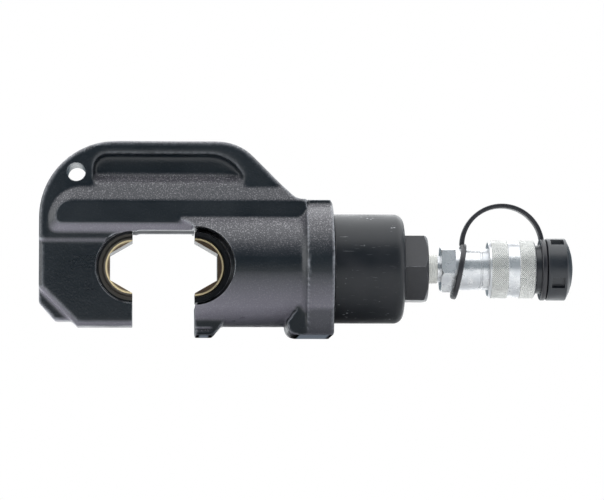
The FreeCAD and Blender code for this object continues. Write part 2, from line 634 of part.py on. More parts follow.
def all_parts():
    anvil_ball_x = ANVIL_FACE - BALL_OFFSET
    ram_ball_x = RAM_DIE_FACE + BALL_OFFSET
    return {
        "head_casting": head_casting(),
        "ram_wiper": ring_x(BUSH_RADIUS, BORE_RADIUS, WIPER_START, WIPER_END),
        "ram_guide_bush": ring_x(BUSH_RADIUS, BORE_RADIUS, BUSH_START, BUSH_END),
        "ram_guide_pin": Part.makeCylinder(GUIDE_PIN_RADIUS, 13.5, Vector(GUIDE_PIN_X, 0, -35.5),
                                           Vector(0, 0, 1)),
        "anvil_detent_ball": detent_ball(ANVIL_FACE, -1),
        "anvil_detent_spring": ring_x(DETENT_SPRING_OUTER, DETENT_SPRING_INNER,
                                      ANVIL_SCREW_END + 0.4, anvil_ball_x - BALL_RADIUS),
        "anvil_detent_screw": cyl_x(ANVIL_SCREW_RADIUS, ANVIL_SCREW_START, ANVIL_SCREW_END),
        "cylinder_barrel": cylinder_barrel(),
        "cylinder_oring": ring_x(SPIGOT_RADIUS, ORING_GROOVE_RADIUS, ORING_START, ORING_END),
        "cylinder_lock_screw": Part.makeCylinder(LOCK_SCREW_RADIUS, 11.0,
                                                 Vector(LOCK_SCREW_X, 29.0, 0), Vector(0, 1, 0)),
        "end_adapter": end_adapter(),
        "adapter_seal": ring_x(FACE_SEAL_RADIUS, PORT_RADIUS + 1.0, CYLINDER_END,
                               CYLINDER_END + FACE_SEAL_DEPTH),
        "spring_anchor": spring_anchor(),
        "return_spring": ring_x(SPRING_RADIUS, 6.0, SPRING_PIN_X + SPRING_PIN_RADIUS, SPRING_REAR),
        "thread_tape": ring_x(TAPE_RADIUS, THREAD_RADIUS, ADAPTER_END, TAPE_END),
        "coupler_body": coupler_body(),
        "coupler_snap_ring": ring_x(SNAP_RADIUS, COUPLER_RADIUS - SNAP_DEPTH, SNAP_START, SNAP_END),
        "coupler_seal": ring_x(NOSE_SEAL_RADIUS, 4.3, NOSE_SEAL_START, NOSE_SEAL_END),
        "poppet_spring": ring_x(5.6, 4.4, POPPET_SPRING_START, POPPET_START),
        "coupler_poppet": coupler_poppet(),
        "strap_loop": strap_loop(),
        "strap_band": strap_band(),
        "strap_cap_loop": strap_cap_loop(),
        "knurled_sleeve": knurled_sleeve(),
        "dust_cap": dust_cap(),
        "cap_oring": ring_x(SLEEVE_SOCKET_RADIUS - 0.1, CAP_GROOVE_RADIUS, CAP_ORING_START,
                            CAP_ORING_END),
        "ram": ram(),
        "piston_seal": ring_x(RAM_RADIUS, SEAL_GROOVE_RADIUS, SEAL_START, SEAL_END),
        "piston_backup_ring": ring_x(RAM_RADIUS, SEAL_GROOVE_RADIUS, SEAL_END, BACKUP_END),
        "piston_wear_ring": ring_x(RAM_RADIUS, WEAR_GROOVE_RADIUS, WEAR_START, WEAR_END),
        "ram_detent_ball": detent_ball(RAM_DIE_FACE, 1),
        "ram_detent_spring": ring_x(DETENT_SPRING_OUTER, DETENT_SPRING_INNER,
                                    ram_ball_x + BALL_RADIUS, RAM_SCREW_START),
        "ram_detent_screw": cyl_x(DETENT_BORE, RAM_SCREW_START, RAM_HOLLOW_START),
        "spring_pin": cyl_y(SPRING_PIN_RADIUS, 17.5, SPRING_PIN_X, 0),
        "anvil_die": die(ANVIL_FACE, -1),
        "ram_die": die(RAM_DIE_FACE, 1),
    }


def main():
    os.makedirs("parts", exist_ok=True)
    for name, shape in all_parts().items():
        shape.translate(Vector(0, 0, AXIS_HEIGHT))
        shape.exportStep("parts/" + name + ".step")
        print(name, shape.isValid(), len(shape.Solids), round(shape.Volume, 1))


main()
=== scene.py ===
import math

import bmesh
import bpy
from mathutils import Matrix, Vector


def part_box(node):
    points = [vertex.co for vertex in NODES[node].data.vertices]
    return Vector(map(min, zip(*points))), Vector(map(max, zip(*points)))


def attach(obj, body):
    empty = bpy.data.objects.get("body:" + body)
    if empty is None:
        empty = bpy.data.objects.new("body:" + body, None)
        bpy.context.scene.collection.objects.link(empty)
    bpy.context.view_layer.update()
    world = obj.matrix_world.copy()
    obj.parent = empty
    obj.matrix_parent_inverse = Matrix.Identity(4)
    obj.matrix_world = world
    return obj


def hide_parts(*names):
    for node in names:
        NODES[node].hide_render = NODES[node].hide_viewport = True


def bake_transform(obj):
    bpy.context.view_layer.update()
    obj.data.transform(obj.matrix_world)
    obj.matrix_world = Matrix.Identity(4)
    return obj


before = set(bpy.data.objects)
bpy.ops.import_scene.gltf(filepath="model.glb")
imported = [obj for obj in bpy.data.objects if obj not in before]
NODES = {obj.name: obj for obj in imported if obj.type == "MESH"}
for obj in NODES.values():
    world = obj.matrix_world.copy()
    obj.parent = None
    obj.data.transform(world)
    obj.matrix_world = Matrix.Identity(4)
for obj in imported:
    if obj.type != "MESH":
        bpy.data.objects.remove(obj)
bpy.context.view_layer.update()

# Hydraulic crimping head, in metres. The ram axis runs along X at the coupler's height.
MM = 0.001


def node_middle(name):
    low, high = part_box(name)
    return (low + high) / 2


AXIS = node_middle("cylinder_barrel").z
ANVIL_FACE = -108.0
RAM_FACE = -69.5


# ---------------------------------------------------------------- working by hand

def start_clean():
    """Nothing selected, so that the next operator touches only its own piece."""
    if bpy.context.object and bpy.context.object.mode != "OBJECT":
        bpy.ops.object.mode_set(mode="OBJECT")
    bpy.ops.object.select_all(action="DESELECT")


def take(piece):
    """Makes a piece the only selected one."""
    start_clean()
    piece.select_set(True)
    bpy.context.view_layer.objects.active = piece
    return piece


def settle(piece):
    """Puts the piece's place and turn into its mesh."""
    take(piece)
    bpy.ops.object.transform_apply(location=True, rotation=True, scale=True)
    return piece


def named(name):
    """Names the piece that was just added."""
    piece = bpy.context.object
    piece.name = name
    piece.data.name = name
    return piece


def choose(piece, kind, test):
    """In edit mode, selects the faces, edges or vertices that pass a test of place or normal."""
    mesh = bmesh.from_edit_mesh(piece.data)
    modes = {"verts": "VERT", "edges": "EDGE", "faces": "FACE"}
    bpy.ops.mesh.select_mode(type=modes[kind])
    bpy.ops.mesh.select_all(action="DESELECT")
    mesh = bmesh.from_edit_mesh(piece.data)
    for part in getattr(mesh, kind):
        if test(part):
            part.select_set(True)
    mesh.select_flush_mode()
    bmesh.update_edit_mesh(piece.data)


def use_modifier(piece, kind, **settings):
    """Adds a modifier, sets it and applies it."""
    take(piece)
    modifier = piece.modifiers.new(kind.title(), kind)
    for key, value in settings.items():
        setattr(modifier, key, value)
    bpy.ops.object.modifier_apply(modifier=modifier.name)


def smooth(piece, degrees=32):
    take(piece)
    bpy.ops.object.shade_smooth_by_angle(angle=math.radians(degrees))


def tidy_mesh(piece, distance=1e-6):
    """Closes seams and turns every face outwards."""
    take(piece)
    bpy.ops.object.mode_set(mode="EDIT")
    bpy.ops.mesh.select_all(action="SELECT")
    bpy.ops.mesh.remove_doubles(threshold=distance)
    bpy.ops.mesh.normals_make_consistent(inside=False)
    bpy.ops.object.mode_set(mode="OBJECT")


def turn_on_lathe(name, profile, segments=96, height=None):
    """Turns a piece about the ram axis from (x, radius) steps in millimetres, then closes it."""
    centre_z = AXIS if height is None else height
    x, radius = profile[0]
    start_clean()
    bpy.ops.mesh.primitive_circle_add(vertices=segments, radius=radius * MM,
                                      location=(x * MM, 0, centre_z), rotation=(0, math.pi / 2, 0))
    piece = settle(named(name))
    bpy.ops.object.mode_set(mode="EDIT")
    bpy.ops.mesh.select_mode(type="VERT")
    bpy.ops.mesh.select_all(action="SELECT")
    for next_x, next_radius in profile[1:]:
        bpy.ops.mesh.extrude_region_move(
            TRANSFORM_OT_translate={"value": ((next_x - x) * MM, 0, 0)})
        grow = next_radius / radius
        bpy.ops.transform.resize(value=(1, grow, grow),
                                 center_override=(next_x * MM, 0, centre_z))
        x, radius = next_x, next_radius
    bpy.ops.mesh.select_all(action="SELECT")
    bpy.ops.mesh.remove_doubles(threshold=1e-7)
    bpy.ops.mesh.select_all(action="DESELECT")
    bpy.ops.mesh.select_mode(type="EDGE")
    bpy.ops.mesh.select_non_manifold()
    bpy.ops.mesh.fill_holes(sides=0)
    bpy.ops.mesh.select_all(action="SELECT")
    bpy.ops.mesh.normals_make_consistent(inside=False)
    bpy.ops.object.mode_set(mode="OBJECT")
    return piece


def add_rod(name, radius, start, end, segments=64):
    """Round rod between two points, in millimetres above the base."""
    a, b = Vector(start) * MM, Vector(end) * MM
    run = b - a
    turn = Vector((0, 0, 1)).rotation_difference(run).to_euler()
    start_clean()
    bpy.ops.mesh.primitive_cylinder_add(vertices=segments, radius=radius * MM, depth=run.length,
                                        location=(a + b) / 2, rotation=turn)
    return settle(named(name))


def add_block(name, low, high):
    """Block between two corners, in millimetres above the base."""
    low, high = Vector(low) * MM, Vector(high) * MM
    start_clean()
    bpy.ops.mesh.primitive_cube_add(size=1, location=(low + high) / 2, scale=high - low)
    return settle(named(name))


def join(pieces, name):
    """Joins pieces into the first one."""
    start_clean()
    for piece in pieces:
        piece.select_set(True)
    bpy.context.view_layer.objects.active = pieces[0]
    bpy.ops.object.join()
    return named(name)


def discard(piece):
    bpy.data.objects.remove(piece, do_unlink=True)


# ---------------------------------------------------------------- shader groups

def new_group(name, inputs, outputs):
    """Shader node group with named float or vector inputs and outputs."""
    group = bpy.data.node_groups.new(name, "ShaderNodeTree")
    kinds = {"float": "NodeSocketFloat", "vector": "NodeSocketVector", "color": "NodeSocketColor"}
    for label, kind, default in inputs:
        socket = group.interface.new_socket(label, in_out="INPUT", socket_type=kinds[kind])
        if default is not None:
            socket.default_value = default
    for label, kind in outputs:
        group.interface.new_socket(label, in_out="OUTPUT", socket_type=kinds[kind])
    source = group.nodes.new("NodeGroupInput")
    sink = group.nodes.new("NodeGroupOutput")
    return group, source, sink


def add_node(tree, kind, values=None, **settings):
    node = tree.nodes.new(kind)
    for key, value in settings.items():
        setattr(node, key, value)
    for key, value in (values or {}).items():
        if isinstance(value, bpy.types.NodeSocket):
            tree.links.new(value, node.inputs[key])
        else:
            node.inputs[key].default_value = value
    return node


def spread(tree, value, low, high, out_low=0.0, out_high=1.0):
    """Maps a value from one range to another, clamped."""
    node = add_node(tree, "ShaderNodeMapRange", {
        "Value": value, "From Min": low, "From Max": high, "To Min": out_low, "To Max": out_high})
    return node.outputs["Result"]


def maths(tree, operation, first, second):
    node = add_node(tree, "ShaderNodeMath", {0: first, 1: second}, operation=operation)
    return node.outputs[0]


def facing_parts(tree):
    """The three parts of the direction that a face looks in."""
    normal = add_node(tree, "ShaderNodeNewGeometry").outputs["Normal"]
    return add_node(tree, "ShaderNodeSeparateXYZ", {0: normal})


def grain_group():
    """Cast, moulded or sprayed grain: a fine height, and slow patches of tone."""
    group, source, sink = new_group(
        "surface_grain",
        [("Vector", "vector", None), ("Grain Scale", "float", 900.0), ("Patch Scale", "float", 40.0),
         ("Softness", "float", 0.5)],
        [("Height", "float"), ("Patches", "float"), ("Speckle", "float")])
    fine = add_node(group, "ShaderNodeTexNoise", {
        "Vector": source.outputs["Vector"], "Scale": source.outputs["Grain Scale"],
        "Detail": 2.0, "Roughness": source.outputs["Softness"]})
    slow = add_node(group, "ShaderNodeTexNoise", {
        "Vector": source.outputs["Vector"], "Scale": source.outputs["Patch Scale"], "Detail": 4.0})
    group.links.new(spread(group, fine.outputs["Fac"], 0.3, 0.7), sink.inputs["Height"])
    group.links.new(spread(group, slow.outputs["Fac"], 0.32, 0.68), sink.inputs["Patches"])
    group.links.new(spread(group, fine.outputs["Fac"], 0.58, 0.72), sink.inputs["Speckle"])
    return group


def wear_group():
    """Worn edges: where a rounded normal leaves the true one, broken up by noise."""
    group, source, sink = new_group(
        "edge_wear",
        [("Vector", "vector", None), ("Reach", "float", 0.0008), ("Breakup", "float", 180.0),
         ("Amount", "float", 0.5)],
        [("Mask", "float")])
    rounded = add_node(group, "ShaderNodeBevel", {"Radius": source.outputs["Reach"]}, samples=4)
    true = add_node(group, "ShaderNodeNewGeometry")
    agree = add_node(group, "ShaderNodeVectorMath", {
        0: rounded.outputs["Normal"], 1: true.outputs["Normal"]}, operation="DOT_PRODUCT")
    edge = spread(group, agree.outputs["Value"], 0.985, 0.86)
    noise = add_node(group, "ShaderNodeTexNoise", {
        "Vector": source.outputs["Vector"], "Scale": source.outputs["Breakup"], "Detail": 5.0})
    chips = spread(group, noise.outputs["Fac"], 0.36, 0.58)
    worn = maths(group, "MULTIPLY", edge, chips)
    group.links.new(maths(group, "MULTIPLY", worn, source.outputs["Amount"]), sink.inputs["Mask"])
    return group


def scratch_group():
    """Fine straight scratches in two directions, and small round chips."""
    group, source, sink = new_group(
        "scratches",
        [("Vector", "vector", None), ("Density", "float", 60.0), ("Chip Scale", "float", 220.0)],
        [("Lines", "float"), ("Chips", "float")])
    masks = []
    for turn, stretch in ((0.12, 34.0), (-0.5, 28.0), (0.9, 40.0)):
        turned = add_node(group, "ShaderNodeMapping", {
            "Vector": source.outputs["Vector"], "Rotation": (turn, turn * 0.7, turn),
            "Scale": (1.0, stretch, stretch)})
        noise = add_node(group, "ShaderNodeTexNoise", {
            "Vector": turned.outputs["Vector"], "Scale": source.outputs["Density"],
            "Detail": 3.0, "Roughness": 0.6})
        masks.append(spread(group, noise.outputs["Fac"], 0.7, 0.74))
    lines = maths(group, "MAXIMUM", maths(group, "MAXIMUM", masks[0], masks[1]), masks[2])
    nicked = add_node(group, "ShaderNodeMapping", {
        "Vector": source.outputs["Vector"], "Rotation": (0.5, 0.3, 0.4), "Scale": (1.0, 2.6, 0.8)})
    ragged = add_node(group, "ShaderNodeTexNoise", {
        "Vector": source.outputs["Vector"], "Scale": 1500.0, "Detail": 2.0})
    torn = add_node(group, "ShaderNodeVectorMath", {
        0: ragged.outputs["Color"], 1: (0.0012, 0.0012, 0.0012)}, operation="MULTIPLY")
    nicks = add_node(group, "ShaderNodeVectorMath", {
        0: nicked.outputs["Vector"], 1: torn.outputs[0]}, operation="ADD")
    spots = add_node(group, "ShaderNodeTexVoronoi", {
        "Vector": nicks.outputs[0], "Scale": source.outputs["Chip Scale"]})
    rare = add_node(group, "ShaderNodeTexNoise", {
        "Vector": source.outputs["Vector"], "Scale": source.outputs["Density"], "Detail": 1.0})
    near = spread(group, spots.outputs["Distance"], 0.2, 0.12)
    here = spread(group, rare.outputs["Fac"], 0.58, 0.66)
    group.links.new(lines, sink.inputs["Lines"])
    group.links.new(maths(group, "MULTIPLY", near, here), sink.inputs["Chips"])
    return group


def turning_group():
    """Fine turning marks round the ram axis, as rings along X."""
    group, source, sink = new_group(
        "turning_marks",
        [("Vector", "vector", None), ("Pitch Scale", "float", 2600.0)],
        [("Height", "float")])
    flat = add_node(group, "ShaderNodeMapping", {
        "Vector": source.outputs["Vector"], "Scale": (1.0, 0.02, 0.02)})
    noise = add_node(group, "ShaderNodeTexNoise", {
        "Vector": flat.outputs["Vector"], "Scale": source.outputs["Pitch Scale"],
        "Detail": 2.0, "Roughness": 0.5})
    group.links.new(noise.outputs["Fac"], sink.inputs["Height"])
    return group


GRAIN = grain_group()
WEAR = wear_group()
SCRATCHES = scratch_group()
TURNING = turning_group()


def place_group(tree, group, vector, **values):
    node = tree.nodes.new("ShaderNodeGroup")
    node.node_tree = group
    tree.links.new(vector, node.inputs["Vector"])
    for key, value in values.items():
        node.inputs[key.replace("_", " ").title()].default_value = value
    return node


def blend_colors(tree, mask, first, second):
    node = add_node(tree, "ShaderNodeMix", data_type="RGBA")
    tree.links.new(mask, node.inputs["Factor"])
    for socket, value in ((node.inputs[6], first), (node.inputs[7], second)):
        if isinstance(value, bpy.types.NodeSocket):
            tree.links.new(value, socket)
        else:
            socket.default_value = (*value, 1.0)
    return node.outputs[2]


def finish(name, color, deep_color, worn_color, roughness, metallic=0.0, grain=900.0, bump=0.15,
           bump_distance=0.0001, patch=40.0, wear=0.5, wear_reach=0.0007, scratch=0.0,
           turning=0.0, specular=0.5, spread_rough=0.12, speckle=0.0):
    """A painted, plated, turned or moulded finish built from the shared groups."""
    material = bpy.data.materials.new(name)
    material.use_nodes = True
    tree = material.node_tree
    shader = tree.nodes["Principled BSDF"]
    place = add_node(tree, "ShaderNodeTexCoord").outputs["Object"]
    surface = place_group(tree, GRAIN, place, grain_scale=grain, patch_scale=patch)
    edges = place_group(tree, WEAR, place, reach=wear_reach, amount=wear)
    tone = blend_colors(tree, surface.outputs["Patches"], color, deep_color)
    mask = edges.outputs["Mask"]
    if speckle:
        dots = maths(tree, "MULTIPLY", surface.outputs["Speckle"], speckle)
        mask = maths(tree, "MAXIMUM", mask, dots)
    if scratch:
        marks = place_group(tree, SCRATCHES, place)
        lines = maths(tree, "MULTIPLY", marks.outputs["Lines"], scratch * 0.35)
        chips = maths(tree, "MULTIPLY", marks.outputs["Chips"], scratch)
        mask = maths(tree, "MAXIMUM", mask, maths(tree, "MAXIMUM", lines, chips))
    tree.links.new(blend_colors(tree, mask, tone, worn_color), shader.inputs["Base Color"])
    tree.links.new(spread(tree, surface.outputs["Patches"], 0.0, 1.0,
                          roughness - spread_rough / 2, roughness + spread_rough / 2),
                   shader.inputs["Roughness"])
    height = surface.outputs["Height"]
    if turning:
        rings = place_group(tree, TURNING, place)
        height = maths(tree, "ADD", height, maths(tree, "MULTIPLY", rings.outputs["Height"], turning))
    relief = add_node(tree, "ShaderNodeBump", {
        "Strength": bump, "Distance": bump_distance, "Height": height})
    tree.links.new(relief.outputs["Normal"], shader.inputs["Normal"])
    shader.inputs["Metallic"].default_value = metallic
    shader.inputs["Specular IOR Level"].default_value = specular
    return material


def forged_paint():
    """Thick textured black paint over a forging, with painted light: lighter grey on faces that look
    up, a lighter tone on low faces that look down, and painted glints on both. Convex edges are
    lighter, partly worn paint and partly a painted highlight.
    """
    material = finish("forged_paint", (0.0032, 0.0056, 0.0085), (0.0055, 0.0085, 0.012),
                      (0.3, 0.31, 0.33), 0.33, grain=1000.0, bump=0.4, bump_distance=0.00018,
                      wear=0.8, wear_reach=0.001, patch=30.0, specular=0.4, speckle=0.03)
    tree = material.node_tree
    shader = tree.nodes["Principled BSDF"]
    place = add_node(tree, "ShaderNodeTexCoord").outputs["Object"]
    tone = shader.inputs["Base Color"].links[0].from_socket
    facing = facing_parts(tree)
    # Painted light: faces that look up are blended toward a lighter grey, as if lit by the top light.
    painted_top_light = spread(tree, facing.outputs["Z"], 0.12, 0.75)
    height = add_node(tree, "ShaderNodeSeparateXYZ", {0: place}).outputs["Z"]
    # Painted light: faces that look down, below the barrel's top, get a lighter tone, as if lit from
    # below.
    low = spread(tree, height, AXIS + 42 * MM, AXIS + 36 * MM)
    painted_under_light = spread(tree, facing.outputs["Z"], -0.1, -0.7, 0.0, 0.9)
    painted_under_light = maths(tree, "MULTIPLY", painted_under_light, low)
    tone = blend_colors(tree, maths(tree, "MULTIPLY", painted_top_light, 0.65), tone, (0.075, 0.07, 0.08))
    tone = blend_colors(tree, painted_under_light, tone, (0.17, 0.16, 0.19))
    # Painted highlights: bright glint dots on faces that look up, and fainter ones on the low faces
    # that look down.
    painted_glint_mask = maths(tree, "MAXIMUM", painted_top_light, maths(tree, "MULTIPLY", painted_under_light, 0.4))
    glint = add_node(tree, "ShaderNodeTexNoise", {
        "Vector": place, "Scale": 1300.0, "Detail": 1.0, "Roughness": 0.4})
    dots = maths(tree, "MULTIPLY", spread(tree, glint.outputs["Fac"], 0.53, 0.7), painted_glint_mask)
    tone = blend_colors(tree, maths(tree, "MULTIPLY", dots, 0.5), tone, (0.42, 0.4, 0.42))
    # Convex edges get a lighter grey: partly worn paint, partly a painted edge highlight.
    edge_wear_and_highlight = add_node(tree, "ShaderNodeAttribute", attribute_name="edge_wear_and_highlight")
    broken = add_node(tree, "ShaderNodeTexNoise", {"Vector": place, "Scale": 420.0, "Detail": 4.0})
    edge = maths(tree, "MULTIPLY", edge_wear_and_highlight.outputs["Fac"],
                 spread(tree, broken.outputs["Fac"], 0.3, 0.65, 0.15, 0.55))
    tree.links.new(blend_colors(tree, edge, tone, (0.34, 0.35, 0.38)), shader.inputs["Base Color"])
    return material


def machined_black():
    """Blackened machined faces of the jaw and bores."""
    return finish("machined_black", (0.03, 0.032, 0.038), (0.02, 0.022, 0.026), (0.7, 0.7, 0.72),
                  0.3, metallic=0.5, grain=2200.0, bump=0.1, wear=1.0, wear_reach=0.0006)


def satin_black():
    """Smooth satin black cylinder with scratches and chips."""
    return finish("satin_black", (0.004, 0.0055, 0.008), (0.010, 0.011, 0.014), (0.4, 0.4, 0.42),
                  0.38, grain=2600.0, bump=0.08, wear=0.4, scratch=0.9, turning=0.3, patch=55.0,
                  specular=0.32)


def black_oxide():
    return finish("black_oxide", (0.009, 0.009, 0.012), (0.018, 0.018, 0.022), (0.25, 0.25, 0.27),
                  0.36, metallic=0.1, grain=1800.0, bump=0.2, wear=0.6, wear_reach=0.0006,
                  patch=90.0, specular=0.45)


def bright_zinc():
    """Zinc plate with a faint cloudy tone."""
    return finish("bright_zinc", (0.62, 0.62, 0.62), (0.47, 0.48, 0.5), (0.8, 0.8, 0.8),
                  0.28, metallic=0.7, grain=1500.0, bump=0.08, wear=0.4, turning=0.9, patch=120.0,
                  spread_rough=0.18)


def knurl_zinc():
    """Knurled zinc: the cuts between the diamonds are darkened as painted shade, and the diamond tops
    keep the zinc tone.
    """
    material = finish("knurl_zinc", (0.76, 0.76, 0.74), (0.62, 0.62, 0.6), (0.85, 0.84, 0.8),
                      0.32, metallic=0.6, grain=1500.0, bump=0.06, wear=0.4, patch=160.0)
    tree = material.node_tree
    shader = tree.nodes["Principled BSDF"]
    place = add_node(tree, "ShaderNodeTexCoord").outputs["Object"]
    away = distance_from(tree, place, (0.0, 0.0, AXIS), (0.0, 1.0, 1.0))
    tone = shader.inputs["Base Color"].links[0].from_socket
    # Painted shade: points below the diamond tops, in the cuts, are darkened.
    top = spread(tree, away, 17.62, 17.95)
    tree.links.new(blend_colors(tree, top, (0.17, 0.17, 0.16), tone), shader.inputs["Base Color"])
    return material


def distance_from(tree, place, point, across):
    """Distance in millimetres from a line through a point, seen along that line."""
    offset = add_node(tree, "ShaderNodeVectorMath", {0: place, 1: point}, operation="SUBTRACT")
    flat = add_node(tree, "ShaderNodeVectorMath", {0: offset.outputs[0], 1: across},
                    operation="MULTIPLY")
    length = add_node(tree, "ShaderNodeVectorMath", {0: flat.outputs[0]}, operation="LENGTH")
    return maths(tree, "MULTIPLY", length.outputs["Value"], 1.0 / MM)


def die_bronze(name, centre_x, ring_radius, rim_radius, color, deep_color):
    """Bronze die: a painted gold highlight ring round its raised boss, grey-brown outside it, and
    painted shade on the rim and on every face that turns away from the die's front and back, such as
    the nest walls.
    """
    material = finish(name, color, deep_color, (0.8, 0.58, 0.3), 0.36, metallic=0.6, grain=1500.0,
                      bump=0.12, wear=0.7, wear_reach=0.0005, patch=150.0)
    tree = material.node_tree
    shader = tree.nodes["Principled BSDF"]
    place = add_node(tree, "ShaderNodeTexCoord").outputs["Object"]
    away = distance_from(tree, place, (centre_x * MM, 0.0, AXIS), (1.0, 0.0, 1.0))
    tone = shader.inputs["Base Color"].links[0].from_socket
    outside = spread(tree, away, ring_radius + 0.4, ring_radius + 0.9)
    tone = blend_colors(tree, outside, tone, (0.11, 0.095, 0.08))
    # Painted shadow: nearly black beyond the rim radius, next to the seat.
    rim_shade = spread(tree, away, rim_radius, rim_radius + 0.4)
    tone = blend_colors(tree, rim_shade, tone, (0.012, 0.012, 0.014))
    # Painted highlight: a narrow gold ring at the ring radius.
    highlight_rise = spread(tree, away, ring_radius - 0.9, ring_radius)
    highlight_fall = spread(tree, away, ring_radius + 0.7, ring_radius + 0.3)
    tone = blend_colors(tree, maths(tree, "MULTIPLY", highlight_rise, highlight_fall), tone, (0.9, 0.72, 0.42))
    # Painted shade: faces that do not look along Y, such as the nest walls, are darkened.
    facing = facing_parts(tree)
    across = maths(tree, "ABSOLUTE", facing.outputs["Y"], 0.0)
    nest_wall_shade = spread(tree, across, 0.5, 0.2)
    tone = blend_colors(tree, nest_wall_shade, tone, (0.03, 0.024, 0.02))
    tree.links.new(tone, shader.inputs["Base Color"])
    return material


def bush_bronze():
    return finish("bush_bronze", (0.5, 0.34, 0.15), (0.4, 0.27, 0.12), (0.8, 0.62, 0.35),
                  0.38, metallic=1.0, grain=2500.0, bump=0.2, patch=200.0)


def ground_steel():
    return finish("ground_steel", (0.5, 0.5, 0.52), (0.4, 0.4, 0.42), (0.7, 0.7, 0.7),
                  0.24, metallic=1.0, grain=3000.0, bump=0.08, turning=1.0, patch=100.0)


def ram_black():
    """Blackened ram nose, which shows inside the barrel's window."""
    return finish("ram_black", (0.012, 0.013, 0.015), (0.02, 0.02, 0.022), (0.3, 0.3, 0.32),
                  0.3, metallic=0.3, grain=2600.0, bump=0.1, wear=0.5, turning=0.5)


def spring_wire():
    return finish("spring_wire", (0.26, 0.26, 0.28), (0.16, 0.15, 0.15), (0.5, 0.5, 0.5),
                  0.3, metallic=1.0, grain=2600.0, bump=0.12, patch=160.0)


def nitrile():
    return finish("nitrile", (0.012, 0.012, 0.012), (0.02, 0.02, 0.02), (0.06, 0.06, 0.06),
                  0.6, grain=2400.0, bump=0.2, patch=150.0)


def urethane():
    return finish("urethane", (0.05, 0.13, 0.08), (0.04, 0.1, 0.06), (0.12, 0.25, 0.17),
                  0.45, grain=2000.0, bump=0.12, patch=150.0)


def white_tape():
    return finish("white_tape", (0.86, 0.85, 0.81), (0.72, 0.71, 0.66), (0.95, 0.95, 0.93),
                  0.6, grain=1400.0, bump=0.5, bump_distance=0.00015, patch=260.0, wear=0.3)


def cap_plastic():
    return finish("cap_plastic", (0.007, 0.009, 0.013), (0.012, 0.014, 0.018), (0.1, 0.1, 0.11),
                  0.36, grain=2300.0, bump=0.16, patch=90.0, wear=0.5, wear_reach=0.0005)


def strap_rubber():
    return finish("strap_rubber", (0.008, 0.008, 0.011), (0.014, 0.013, 0.016), (0.1, 0.1, 0.1),
                  0.4, grain=2000.0, bump=0.18, patch=120.0, wear=0.35, wear_reach=0.0004)


PAINT = forged_paint()
MACHINED = machined_black()
SATIN = satin_black()
OXIDE = black_oxide()
ZINC = bright_zinc()
KNURL = knurl_zinc()
# Both dies are the same bronze part. The ram die gets darker colours as painted shade in the barrel's
# notch, and each die has its own radii for the painted highlight ring and painted shadow rim.
ANVIL_BRONZE = die_bronze("anvil_bronze", ANVIL_FACE, 16.0, 20.4, (0.2, 0.14, 0.09),
                          (0.12, 0.085, 0.06))
RAM_BRONZE_SHADED = die_bronze("ram_bronze_shaded", RAM_FACE, 17.3, 18.4, (0.1, 0.06, 0.035),
                        (0.055, 0.036, 0.025))
BUSH = bush_bronze()
STEEL = ground_steel()
RAM_NOSE = ram_black()
WIRE = spring_wire()
NITRILE = nitrile()
URETHANE = urethane()
TAPE = white_tape()
CAP = cap_plastic()
STRAP = strap_rubber()


def dress(piece, material):
    """Gives a piece one material."""
    piece.data.materials.clear()
    piece.data.materials.append(material)


CARRIED_OVER = {
    "ram_wiper": URETHANE, "ram_guide_bush": BUSH, "ram_guide_pin": STEEL,
    "anvil_detent_ball": STEEL, "anvil_detent_screw": OXIDE, "cylinder_barrel": SATIN,
    "cylinder_oring": NITRILE, "cylinder_lock_screw": OXIDE, "end_adapter": OXIDE,
    "adapter_seal": NITRILE, "spring_anchor": STEEL, "coupler_body": ZINC,
    "coupler_snap_ring": WIRE, "coupler_seal": NITRILE, "coupler_poppet": STEEL,
    "cap_oring": NITRILE, "ram": RAM_NOSE, "piston_seal": URETHANE, "piston_backup_ring": TAPE,
    "piston_wear_ring": BUSH, "ram_detent_ball": STEEL, "ram_detent_screw": OXIDE,
    "spring_pin": STEEL, "anvil_die": ANVIL_BRONZE, "ram_die": RAM_BRONZE_SHADED,
}


def dress_carried_over():
    for name, material in CARRIED_OVER.items():
        slots = NODES[name].material_slots
        for slot in slots:
            slot.material = material


# ---------------------------------------------------------------- forged head

BASE_TO_AXIS = AXIS / MM
JAW_HALF = 15.5
CEILING = 22.5
SEAT_RADIUS = 21.9
WINDOW_RADIUS = 24.2
RAM_BORE = 25.05
BUSH_BORE = 27.5
SPIGOT_BORE = 30.0
LANYARD_X = -142.6
LANYARD_HEIGHT = 58.2
LANYARD_RADIUS = 5.65
DETENT_RADIUS = 3.5
FAR = 60


